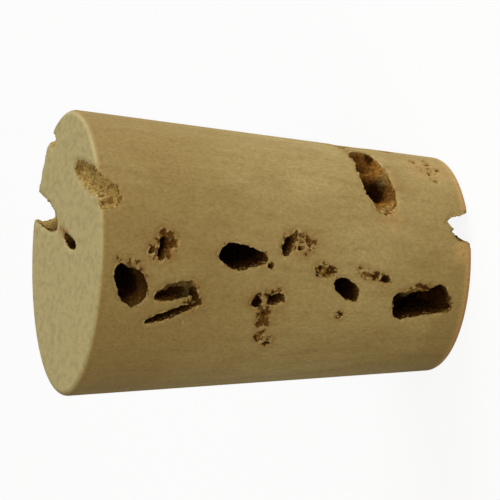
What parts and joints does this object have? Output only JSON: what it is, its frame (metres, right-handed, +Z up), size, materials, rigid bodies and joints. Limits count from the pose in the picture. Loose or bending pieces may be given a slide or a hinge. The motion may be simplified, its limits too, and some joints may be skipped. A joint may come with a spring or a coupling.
{
  "type": "cork stopper",
  "caption": "Tapered round stopper turned from natural cork, with open bark pores and worn rims; pushes into the neck of a bottle, flask or jar to close it.",
  "frame": {"origin": "centre of the narrow foot, on its flat face", "axes": "+Z up along the axis, from the narrow foot to the wide head; -Y towards the side with the most pores"},
  "size_m": [0.024, 0.024, 0.033],
  "materials": {
    "cork": "matt, finely grained natural cork bark with dark pores"
  },
  "bodies": {
    "root": {"stopper": "cork"}
  },
  "joints": []
}
